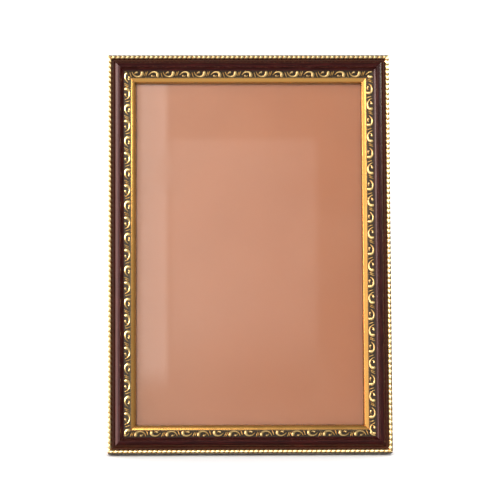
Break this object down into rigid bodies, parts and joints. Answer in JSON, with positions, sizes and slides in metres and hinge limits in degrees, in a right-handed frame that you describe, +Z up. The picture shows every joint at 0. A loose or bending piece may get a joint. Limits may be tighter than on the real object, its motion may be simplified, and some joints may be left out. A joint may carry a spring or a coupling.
{
  "type": "glazed picture frame",
  "caption": "Portrait picture frame of swelled maroon moulding with gilt rope edge, scroll strip and sight fillet, flat glass, turn-button back, hanging ring and folding easel strut.",
  "frame": {"origin": "on the floor, in the middle of the box: midway across the frame, and midway between the front of the moulding and the back of the open strut's foot", "axes": "+Z up, +X to the right as the front is seen, and the glass faces -Y, leaning back 15 degrees from upright towards +Y"},
  "size_m": [0.2452, 0.112, 0.337],
  "materials": {
    "maroon_moulding": "gloss maroon lacquer, bare wood behind",
    "gilt_rope": "gold foil over moulded rope",
    "antique_gilt": "gold foil relief, dark antique ground",
    "polished_gilt": "polished gold foil",
    "clear_glass": "clear float glass",
    "tan_sheet": "smooth tan kraft",
    "hardboard": "pressed brown hardboard",
    "zinc_plate": "zinc-plated sheet steel",
    "brassed_steel": "brass-plated spring steel",
    "bright_steel": "bright steel",
    "nickel_wire": "nickel-plated wire"
  },
  "bodies": {
    "frame": {"rail_top": "maroon_moulding", "rail_bottom": "maroon_moulding", "rail_left": "maroon_moulding", "rail_right": "maroon_moulding", "rope_bead_top": "gilt_rope", "rope_bead_bottom": "gilt_rope", "rope_bead_left": "gilt_rope", "rope_bead_right": "gilt_rope", "scroll_strip_top": "antique_gilt", "scroll_strip_bottom": "antique_gilt", "scroll_strip_left": "antique_gilt", "scroll_strip_right": "antique_gilt", "sight_fillet_top": "polished_gilt", "sight_fillet_bottom": "polished_gilt", "sight_fillet_left": "polished_gilt", "sight_fillet_right": "polished_gilt", "glass_pane": "clear_glass", "picture_sheet": "tan_sheet", "backing_board": "hardboard", "corner_v_nails": "bright_steel", "turn_button_screws": "bright_steel", "hanger_strap": "zinc_plate", "hanger_rivets": "bright_steel", "strut_fixed_leaf": "zinc_plate", "strut_leaf_rivets": "bright_steel", "strut_hinge_pin": "bright_steel"},
    "strut": {"strut_leg": "hardboard", "strut_moving_leaf": "zinc_plate", "strut_leg_rivets": "bright_steel"},
    "ring": {"hanger_ring": "nickel_wire"},
    "turn_button_left_upper": {"turn_button_left_upper": "brassed_steel"},
    "turn_button_left_lower": {"turn_button_left_lower": "brassed_steel"},
    "turn_button_right_upper": {"turn_button_right_upper": "brassed_steel"},
    "turn_button_right_lower": {"turn_button_right_lower": "brassed_steel"},
    "turn_button_top": {"turn_button_top": "brassed_steel"},
    "turn_button_bottom": {"turn_button_bottom": "brassed_steel"}
  },
  "joints": [
    {"name": "strut_fold", "type": "hinge", "parent": "frame", "child": "strut", "pos_m": [0, 0.01007, 0.19195], "axis": [-1, 0, 0], "range_deg": [0, 27]},
    {"name": "ring_swing", "type": "hinge", "parent": "frame", "child": "ring", "pos_m": [0, 0.03358, 0.27986], "axis": [1, 0, 0], "range_deg": [-14, 164]},
    {"name": "turn_button_left_upper_turn", "type": "hinge", "parent": "frame", "child": "turn_button_left_upper", "pos_m": [-0.1091, 0.02531, 0.25578], "axis": [0, 0.9659, -0.2588], "range_deg": [-90, 90]},
    {"name": "turn_button_left_lower_turn", "type": "hinge", "parent": "frame", "child": "turn_button_left_lower", "pos_m": [-0.1091, -0.02231, 0.07805], "axis": [0, 0.9659, -0.2588], "range_deg": [-90, 90]},
    {"name": "turn_button_right_upper_turn", "type": "hinge", "parent": "frame", "child": "turn_button_right_upper", "pos_m": [0.1091, 0.02531, 0.25578], "axis": [0, 0.9659, -0.2588], "range_deg": [-90, 90]},
    {"name": "turn_button_right_lower_turn", "type": "hinge", "parent": "frame", "child": "turn_button_right_lower", "pos_m": [0.1091, -0.02231, 0.07805], "axis": [0, 0.9659, -0.2588], "range_deg": [-90, 90]},
    {"name": "turn_button_top_turn", "type": "hinge", "parent": "frame", "child": "turn_button_top", "pos_m": [0, 0.04289, 0.32136], "axis": [0, 0.9659, -0.2588], "range_deg": [-90, 90]},
    {"name": "turn_button_bottom_turn", "type": "hinge", "parent": "frame", "child": "turn_button_bottom", "pos_m": [0, -0.03988, 0.01246], "axis": [0, 0.9659, -0.2588], "range_deg": [-90, 90]}
  ]
}
